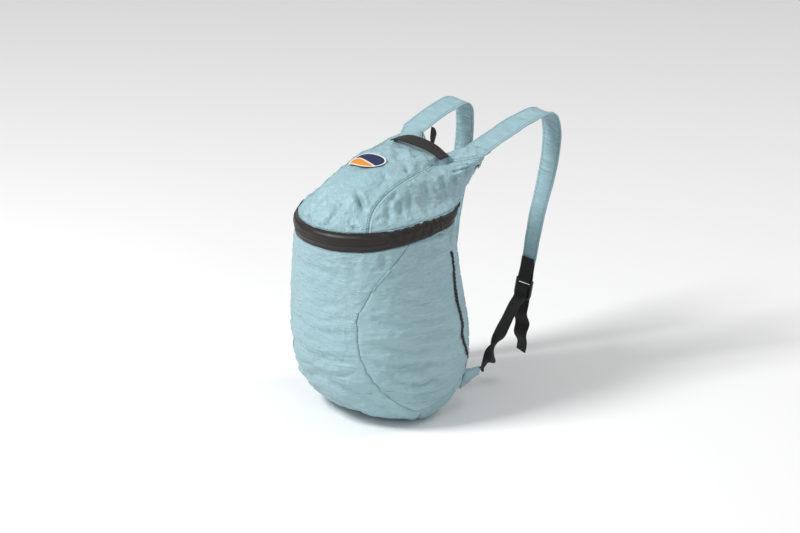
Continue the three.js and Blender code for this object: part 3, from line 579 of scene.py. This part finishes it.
def seam_spots(lines, offset):
    """Spots along seams of the sack, moved sideways along the cloth by offset."""
    spots = []
    for line in lines:
        for point, along in evenly(line, stitch_pitch):
            _, out, _, _ = sack_skin.find_nearest(point)
            moved, out, _, _ = sack_skin.find_nearest(point + out.cross(along).normalized() * offset)
            if moved is not None:
                spots.append((moved, along, out))
    return spots


thread_finish = finish("thread", plain, Base_Color=(0.085, 0.15, 0.175, 1), Roughness=0.6)
row_offset = 0.0042
sewn = []
for kind in ("ridge", "neck", "hood_hem", "belly_hem"):
    for offset in (row_offset, -row_offset):
        spots = seam_spots(seams[kind], offset)
        sewn += [spot for spot in spots if seam_finder.find(spot[0])[2] > row_offset * 0.6]
for kind in ("ridge", "lens"):
    sewn += seam_spots(seams[kind], 0)
stitches("sack_stitches", sewn, thread_finish, "nylon_cloth")


# The two shoulder straps are doubled cloth with a row of stitching along each edge, and small wrinkles across
# them. Each end is tucked between the hems of an ear. As all ribbons here, they are laid again, finely, along
# the four long corners of their solids.
ribbon_corner = math.radians(62)
edge_row = 0.004
strap_columns, strap_step, strap_tuck = 26, 0.0022, 0.012
channel_depth, channel_width = 0.0007, 0.0011
wrinkle_height, wave_height, edge_wave = 0.0019, 0.0016, 0.0006


def ribbon_rails(node, start):
    """The two edges of a ribbon's solid, as lines of points from the end near start, and its thickness."""
    block = bmesh.new()
    block.from_mesh(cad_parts[node].data)
    bmesh.ops.remove_doubles(block, verts=block.verts, dist=same_corner)
    corners = {}
    for edge in block.edges:
        if edge.calc_face_angle(0) > ribbon_corner:
            for v in edge.verts:
                corners.setdefault(v, []).append(edge.other_vert(v))
    tips = [v for v, others in corners.items() if len(others) == 3]
    rails = []
    for tip in tips:
        for following in corners[tip]:
            if following not in tips:
                line = [tip, following]
                while line[-1] not in tips:
                    line.append(next(v for v in corners[line[-1]] if v is not line[-2]))
                rails.append([v.co.copy() for v in line])
    first = min(rails, key=lambda line: (line[0] - start).length)
    others = [line for line in rails if line is not first
              and (line[0] - first[0]).length < (line[-1] - first[0]).length]
    rails = [first, *sorted(others, key=lambda line: (line[0] - first[0]).length)[:3]]
    thickness = (rails[1][0] - first[0]).length
    edges = [[(a + b) / 2 for a, b in zip(*pair)] for pair in (rails[:2], rails[2:])]
    block.free()
    return *edges, thickness


def lengthened(line, extra):
    """A line with one more point before its start, straight on."""
    return [line[0] + (line[0] - line[1]).normalized() * extra, *line]


def at_length(line, lengths, place):
    """A point of a line at a length, on a smooth curve through its points."""
    k = int(np.clip(np.searchsorted(lengths, place) - 1, 0, len(line) - 2))
    share = (place - lengths[k]) / (lengths[k + 1] - lengths[k])
    a, b, c, d = (line[min(max(k + j, 0), len(line) - 1)] for j in (-1, 0, 1, 2))
    return 0.5 * (2 * b + (c - a) * share + (2 * a - 5 * b + 4 * c - d) * share ** 2
                  + (3 * b - a - 3 * c + d) * share ** 3)


def lay_ribbon(name, left, right, thickness, columns, step, relief, twist=None):
    """A fine ribbon between two rails. relief gives its height from share across, metres along and width."""
    middle = [(a + b) / 2 for a, b in zip(left, right)]
    lengths = np.concatenate(([0], np.cumsum([(b - a).length for a, b in zip(middle, middle[1:])])))
    rows = max(int(lengths[-1] / step), 2)
    shape = bmesh.new()
    bmesh.ops.create_grid(shape, x_segments=columns, y_segments=rows, size=0.5)
    cloth = shape.loops.layers.uv.new("cloth")
    grid = {}
    spot = {}
    for v in shape.verts:
        across, share = v.co.x + 0.5, v.co.y + 0.5
        place = share * lengths[-1]
        a, b = at_length(left, lengths, place), at_length(right, lengths, place)
        if twist:
            core = (a + b) / 2
            ahead = at_length(middle, lengths, min(place + step, lengths[-1]))
            behind = at_length(middle, lengths, max(place - step, 0))
            turned = Matrix.Rotation(twist(place), 3, ahead - behind)
            a, b = core + turned @ (a - core), core + turned @ (b - core)
        grid[v] = (across, place, (b - a).length)
        spot[v] = a.lerp(b, across)
    for v in shape.verts:
        v.co = spot[v]
    for face in shape.faces:
        for loop in face.loops:
            across, place, width = grid[loop.vert]
            loop[cloth].uv = (across * width, place)
    shape.normal_update()
    for v in shape.verts:
        spot[v] = v.co + v.normal * relief(*grid[v], v.co)
    for v in shape.verts:
        v.co = spot[v]
    piece = new_piece(name, shape)
    give_wall(piece, thickness, 0)
    return piece


def strap_relief(across, place, width, point):
    gap = min(across, 1 - across) * width
    channel = -channel_depth * math.exp(-(((gap - edge_row) / channel_width) ** 2))
    inner = smooth_share(gap, edge_row, edge_row * 2.2)
    wrinkle = noise.noise(Vector((across * 1.3, place * 95, point.x * 9)))
    long_wave = noise.noise(Vector((across * 0.7, place * 22, point.x * 5)))
    edge = noise.noise(Vector((3.0, place * 60, point.x * 9))) * edge_wave * (1 - inner)
    return channel + inner * (edge_wave + wrinkle * wrinkle_height) + long_wave * wave_height + edge


for side, root in zip(("left", "right"), strap_roots):
    node = "shoulder_strap_" + side
    left, right, thickness = ribbon_rails(node, root)
    left, right = lengthened(left, strap_tuck), lengthened(right, strap_tuck)
    strap = lay_ribbon(node + "_cloth", left, right, thickness, strap_columns, strap_step,
                       strap_relief)
    round_off(strap, 1)
    dress(strap, strap_finish, "nylon_cloth", node)
    strap_skin = BVHTree.FromPolygons([v.co for v in strap.data.vertices],
                                      [polygon.vertices for polygon in strap.data.polygons])
    sewn = []
    for near, far in ((left, right), (right, left)):
        line = [a + (b - a).normalized() * edge_row for a, b in zip(near, far)]
        for point, along in evenly(line, stitch_pitch):
            out = Vector((1, 0, 0)).cross(along).normalized()
            for face in (1, -1):
                seat, normal, _, _ = strap_skin.ray_cast(point + out * face * 0.01, -out * face)
                if seat is not None:
                    sewn.append((seat, along, normal))
    stitches(node + "_stitches", sewn, thread_finish, "nylon_cloth")


# The webbing on each side: a tab folded over the strap's end, and a length from the corner up round the lock.
# The length turns over on itself above the corner tab, a folded triangle of the bag's own cloth.
webbing_columns, webbing_step = 12, 0.0016
webbing_rib = 0.0016
webbing_selvedge = 0.0011
half_turns, turn_from, turn_to = 0.95, 0.012, 0.080
tab_sink, tab_crumple = 0.004, 0.0014


def woven(dark, light, pitch):
    """A flat woven band: ribs across it and rows along it, from its own cloth coordinates."""

    def make(wire):
        place = wire.node("ShaderNodeUVMap", {"uv_map": "cloth"})
        along = place.part(1) * (math.tau / pitch)
        across = place.part(0) * (math.tau / pitch / 1.4)
        weave = (along + across.sine() * 1.6).sine() * 0.5 + 0.5
        fuzz = wire.node("ShaderNodeTexNoise", {}, {"Vector": place, "Scale": 900.0, "Detail": 3.0})
        height = weave * 0.8 + fuzz * 0.5
        bump = wire.node("ShaderNodeBump", {}, {"Strength": 0.7, "Distance": 0.0005, "Height": height})
        shade = (weave * 0.4 + fuzz * 0.6).between(0.2, 0.9)
        return {"Base Color": shade.mix(dark, light), "Normal": bump, "Roughness": 0.82 - shade * 0.15}

    return make


webbing_finish = finish("webbing", woven((0.006, 0.0055, 0.005, 1), (0.030, 0.026, 0.024, 1), webbing_rib),
                        Specular_IOR_Level=0.3, Sheen_Weight=0.1)


def webbing_relief(across, place, width, point):
    """The low relief of a webbing: a slow wave along it and thinner selvedges."""
    edge = math.exp(-((min(across, 1 - across) * width / webbing_selvedge) ** 2))
    return noise.noise(Vector((across * 0.8, place * 40, 1.5))) * 0.0005 - edge * 0.0002


def webbing_twist(place):
    """How far the webbing is turned over at a length from the corner tab."""
    return -half_turns * math.pi * (1 - smooth_share(place, turn_from, turn_to))


def lay_webbing(node, rails, twist=None):
    """A band of black webbing along a solid's rails."""
    band = lay_ribbon(node + "_band", *rails, webbing_columns, webbing_step, webbing_relief, twist)
    dress(band, webbing_finish, "black_webbing", node)


for side in ("left", "right"):
    tab_low, tab_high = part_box("corner_tab_" + side)
    corner = (Vector(tab_low) + Vector(tab_high)) / 2
    node = "strap_end_tab_" + side
    lay_webbing(node, ribbon_rails(node, corner))
    node = "lower_webbing_" + side
    lay_webbing(node, ribbon_rails(node, corner), webbing_twist)
    node = "corner_tab_" + side
    tab = bmesh.new()
    tab.from_mesh(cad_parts[node].data)
    bmesh.ops.remove_doubles(tab, verts=tab.verts, dist=same_corner)
    bmesh.ops.subdivide_edges(tab, edges=tab.edges, cuts=2, use_grid_fill=True)
    for v in tab.verts:
        _, _, _, gap = sack_skin.find_nearest(v.co)
        sink = math.exp(-((gap / tab_sink) ** 2)) * tab_sink
        v.co += Vector((-v.co.x, -0.06, 0)).normalized() * sink
        v.co += v.normal * noise.noise(v.co * 120) * tab_crumple
    dress(new_piece(node + "_cloth", tab), nylon_finish, "nylon_cloth", node)


# The haul loop stands in front of the neckline. The hanging loop is folded under the right ear and shows
# behind the neckline.
hanging_shift = Vector((0.007, 0.008, 0.001))
loops_ahead = Vector((0, -0.2, 0))
for node, shift in (("haul_loop", Vector()), ("hanging_loop", hanging_shift)):
    left, right, thickness = ribbon_rails(node, loops_ahead)
    lay_webbing(node, ([p + shift for p in left], [p + shift for p in right], thickness))


# The elastic edge of each side pocket is a narrow black band, drawn in to small waves by its own pull.
# It lies on the side along a line read in the photograph, in its pixels. The right side mirrors it.
elastic_width, elastic_thickness, elastic_lift = 0.0052, 0.0011, 0.0007
elastic_columns, elastic_step, steps_between = 6, 0.001, 5
gather_pitch, gather_height, gather_wander = 0.0066, 0.0005, 0.0008
elastic_line = [(450.6, 251), (452.6, 260), (453.5, 269), (454, 282), (456.5, 300), (460, 314), (462.3, 326),
                (461.5, 335), (464, 344), (467.5, 355.5), (468.5, 362)]


def elastic_relief(across, place, width, point):
    """The small gathers of the elastic."""
    gathers = math.sin(place * math.tau / gather_pitch) * gather_height
    return gathers + noise.noise(Vector((0, place * 70, 6))) * gather_wander


elastic_pixels = [(u + (next_u - u) * j / steps_between, v + (next_v - v) * j / steps_between)
                  for (u, v), (next_u, next_v) in zip(elastic_line, elastic_line[1:])
                  for j in range(steps_between)]


for side, sign in (("left", 1), ("right", -1)):
    node = "pocket_edge_" + side
    middle, outs = [], []
    for pixel in elastic_pixels:
        seat = sack_skin.ray_cast(camera.location, photo_ray(*pixel))[0]
        if seat is not None:
            seat, normal, _, _ = sack_skin.find_nearest(Vector((seat.x * sign, seat.y, seat.z)))
            middle.append(seat + normal * (elastic_thickness / 2 + elastic_lift))
            outs.append(normal)
    ways = [(b - a).normalized() for a, b in zip([middle[0], *middle], [*middle[1:], middle[-1]])]
    ways[0], ways[-1] = (middle[1] - middle[0]).normalized(), (middle[-1] - middle[-2]).normalized()
    halves = [out.cross(way).normalized() * elastic_width / 2 for out, way in zip(outs, ways)]
    halves[0] = halves[0] * 0.3
    band = lay_ribbon(node + "_band", [p - h for p, h in zip(middle, halves)],
                      [p + h for p, h in zip(middle, halves)], elastic_thickness, elastic_columns,
                      elastic_step, elastic_relief)
    dress(band, webbing_finish, "black_webbing", node)


# The zip crosses the front below the hood: two woven tapes and a coil turned to the inside, so that only a
# fine fold shows along the lower third. The band stands out roundly and its edges run in under the cloth.
tape = outer_side("zip_tape")
tape_thickness = 0.0009
hidden_reach, hidden_drop = 0.0036, 0.0016
band_fold, band_proud, band_round = 0.34, 0.0017, 0.003
groove_depth, groove_width = 0.0011, 0.0009
lip_height, lip_width, lip_above, band_wave = 0.0007, 0.0016, 0.1, 0.0009
inward = {}
for v in tape.verts:
    if v.is_boundary:
        inner = [e.other_vert(v) for e in v.link_edges if not e.is_boundary]
        if inner:
            inward[v] = (v.co - inner[0].co).normalized() * hidden_reach - v.normal * hidden_drop
edge_points = {kind: [v.co.copy() for v in inward if (inward[v].z > 0) == (kind == "upper")]
               for kind in ("upper", "lower")}
edges = [e for e in tape.edges if e.is_boundary]
spread = bmesh.ops.extrude_edge_only(tape, edges=edges)
grown = [v for v in spread["geom"] if isinstance(v, bmesh.types.BMVert)]
finder = point_finder([v.co for v in inward])
shifts = list(inward.values())
for v in grown:
    v.co += shifts[finder.find(v.co)[1]]
tape = new_piece("zip_tape_band", tape)
round_off(tape, 3)
edge_lines = {}
for kind, points in edge_points.items():
    points = sorted(points, key=lambda p: math.atan2(p.x, -(p.y + 0.2)))
    edge_lines[kind] = point_finder([a.lerp(b, j / 8) for a, b in zip(points, points[1:]) for j in range(8)])
tape_outs = [v.normal.copy() for v in tape.data.vertices]
for v, out in zip(tape.data.vertices, tape_outs):
    up, down = (edge_lines[kind].find(v.co)[2] for kind in ("upper", "lower"))
    width = up + down
    share = down / max(width, 1e-6)
    bulge = band_proud * (1 - math.exp(-((min(up, down) / band_round) ** 2)))
    groove = groove_depth * math.exp(-(((share - band_fold) * width / groove_width) ** 2))
    lip = lip_height * math.exp(-(((share - band_fold - lip_above) * width / lip_width) ** 2))
    wave = noise.noise(v.co * 45) * band_wave
    v.co += out * (bulge - groove + lip + wave)


def tape_weave(wire):
    """Fine close weave with a dull sheen."""
    place = wire.node("ShaderNodeTexCoord", out=3)
    fine = wire.node("ShaderNodeMapping", {}, {"Vector": place, "Scale": (260.0, 260.0, 1500.0)})
    rows = wire.node("ShaderNodeTexNoise", {}, {"Vector": fine, "Scale": 1.0, "Detail": 2.0})
    fuzz = wire.node("ShaderNodeTexNoise", {}, {"Vector": place, "Scale": 700.0, "Detail": 3.0})
    relief = rows * 0.7 + fuzz * 0.5
    bump = wire.node("ShaderNodeBump", {}, {"Strength": 0.5, "Distance": 0.0004, "Height": relief})
    shade = (rows * 0.5 + fuzz * 0.5).between(0.3, 0.75)
    return {"Base Color": shade.mix((0.007, 0.006, 0.0055, 1), (0.020, 0.017, 0.015, 1)), "Normal": bump,
            "Roughness": 0.52 - shade * 0.12}


tape_finish = finish("zip_tape", tape_weave, Specular_IOR_Level=0.4)
give_wall(tape, tape_thickness, -1)
dress(tape, tape_finish, "black_webbing", "zip_tape")


# The two ladder locks are moulded plastic and the zip's slider is cast and lacquered black. Their edges are
# rounded.
edge_rounding = 0.0007


def moulded(wire):
    """Satin black with a fine moulded grain."""
    place = wire.node("ShaderNodeTexCoord", out=3)
    grain = wire.node("ShaderNodeTexNoise", {}, {"Vector": place, "Scale": 1500.0, "Detail": 2.0})
    bump = wire.node("ShaderNodeBump", {}, {"Strength": 0.3, "Distance": 0.0002, "Height": grain})
    return {"Base Color": grain.mix((0.012, 0.012, 0.013, 1), (0.03, 0.03, 0.032, 1)), "Normal": bump,
            "Roughness": 0.34 + grain * 0.2}


plastic_finish = finish("plastic", moulded, Specular_IOR_Level=0.5)
for node in ("ladder_lock_left", "ladder_lock_right", "zip_slider"):
    block = bmesh.new()
    block.from_mesh(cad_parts[node].data)
    bmesh.ops.remove_doubles(block, verts=block.verts, dist=same_corner)
    bmesh.ops.dissolve_limit(block, angle_limit=0.02, verts=block.verts, edges=block.edges)
    sharp_edges = [e for e in block.edges if e.calc_face_angle(0) > 0.5]
    bmesh.ops.bevel(block, geom=sharp_edges, offset=edge_rounding, segments=3, profile=0.5, affect="EDGES",
                    material=-1)
    bmesh.ops.triangulate(block, faces=block.faces)
    piece = new_piece(node + "_moulding", block)
    dress(piece, plastic_finish, "black_plastic", node)
    piece.data.set_sharp_from_angle(angle=math.radians(40))


# The badge is an oval of woven cloth with a thick overlocked edge, laid on the hood.
# Its design is plain: a navy ground over an orange band, with a white line between them.
badge_thickness = 0.0012
badge_row, design_slope = 0.0007, 0.22
edge_pitch, edge_inset, edge_long, edge_wide = 0.00085, 0.0008, 0.0036, 0.0006
badge = outer_side("badge")
badge_middle = sum((v.co for v in badge.verts), Vector()) / len(badge.verts)
badge_out = sum((face.normal * face.calc_area() for face in badge.faces), Vector()).normalized()
badge_along = (Vector((1, 0, 0)) - badge_out * badge_out.x).normalized()
badge_up = badge_out.cross(badge_along)
badge = new_piece("badge_cloth", badge)
round_off(badge, 3)
cloth = badge.data.uv_layers.new(name="cloth")
for loop in badge.data.loops:
    place = badge.data.vertices[loop.vertex_index].co - badge_middle
    cloth.data[loop.index].uv = (place.dot(badge_along), place.dot(badge_up))
badge_skin = bmesh.new()
badge_skin.from_mesh(badge.data)
rim_spots = []
for line in chains([e for e in badge_skin.edges if e.is_boundary]):
    for point, _ in evenly([*line, line[0]], edge_pitch):
        inwards = (badge_middle - point).normalized()
        rim_spots.append((point + inwards * edge_inset, inwards, badge_out))
badge_skin.free()
give_wall(badge, badge_thickness, -1)


def badge_design(wire):
    """Woven rows in three plain colours."""
    place = wire.node("ShaderNodeUVMap", {"uv_map": "cloth"})
    up = place.part(1)
    fuzz = wire.node("ShaderNodeTexNoise", {}, {"Vector": place, "Scale": 1400.0, "Detail": 3.0})
    rows = (up * (math.tau / badge_row)).sine() * 0.5 + 0.5
    height = up + place.part(0) * design_slope + (fuzz - 0.5) * 0.0006
    band = height.between(-0.0062, -0.0058)
    line = height.between(-0.0036, -0.0032)
    colour = line.mix(band.mix((0.72, 0.27, 0.035, 1), (0.75, 0.75, 0.73, 1)), (0.020, 0.028, 0.09, 1))
    relief = rows * 0.5 + fuzz * 0.6
    bump = wire.node("ShaderNodeBump", {}, {"Strength": 0.6, "Distance": 0.0003, "Height": relief})
    return {"Base Color": colour, "Normal": bump, "Roughness": 0.78 - fuzz * 0.1}


badge_finish = finish("badge", badge_design, Specular_IOR_Level=0.3)
edge_finish = finish("badge_edge", plain, Base_Color=(0.75, 0.75, 0.73, 1), Roughness=0.7)
dress(badge, badge_finish, "badge_cloth", "badge")
stitches("badge_edge_thread", rim_spots, edge_finish, "badge_cloth", edge_long, edge_wide)

low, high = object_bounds()

# The bag stands on a plain pale floor, at its lowest point.
floor_half = 15
floor_mesh = bmesh.new()
bmesh.ops.create_grid(floor_mesh, x_segments=1, y_segments=1, size=floor_half)
bmesh.ops.translate(floor_mesh, verts=floor_mesh.verts, vec=(0, 0, low.z - 0.0005))
floor = new_piece("floor", floor_mesh)
floor.data.materials.append(finish("floor", plain, Base_Color=(0.93, 0.93, 0.93, 1), Roughness=0.9))
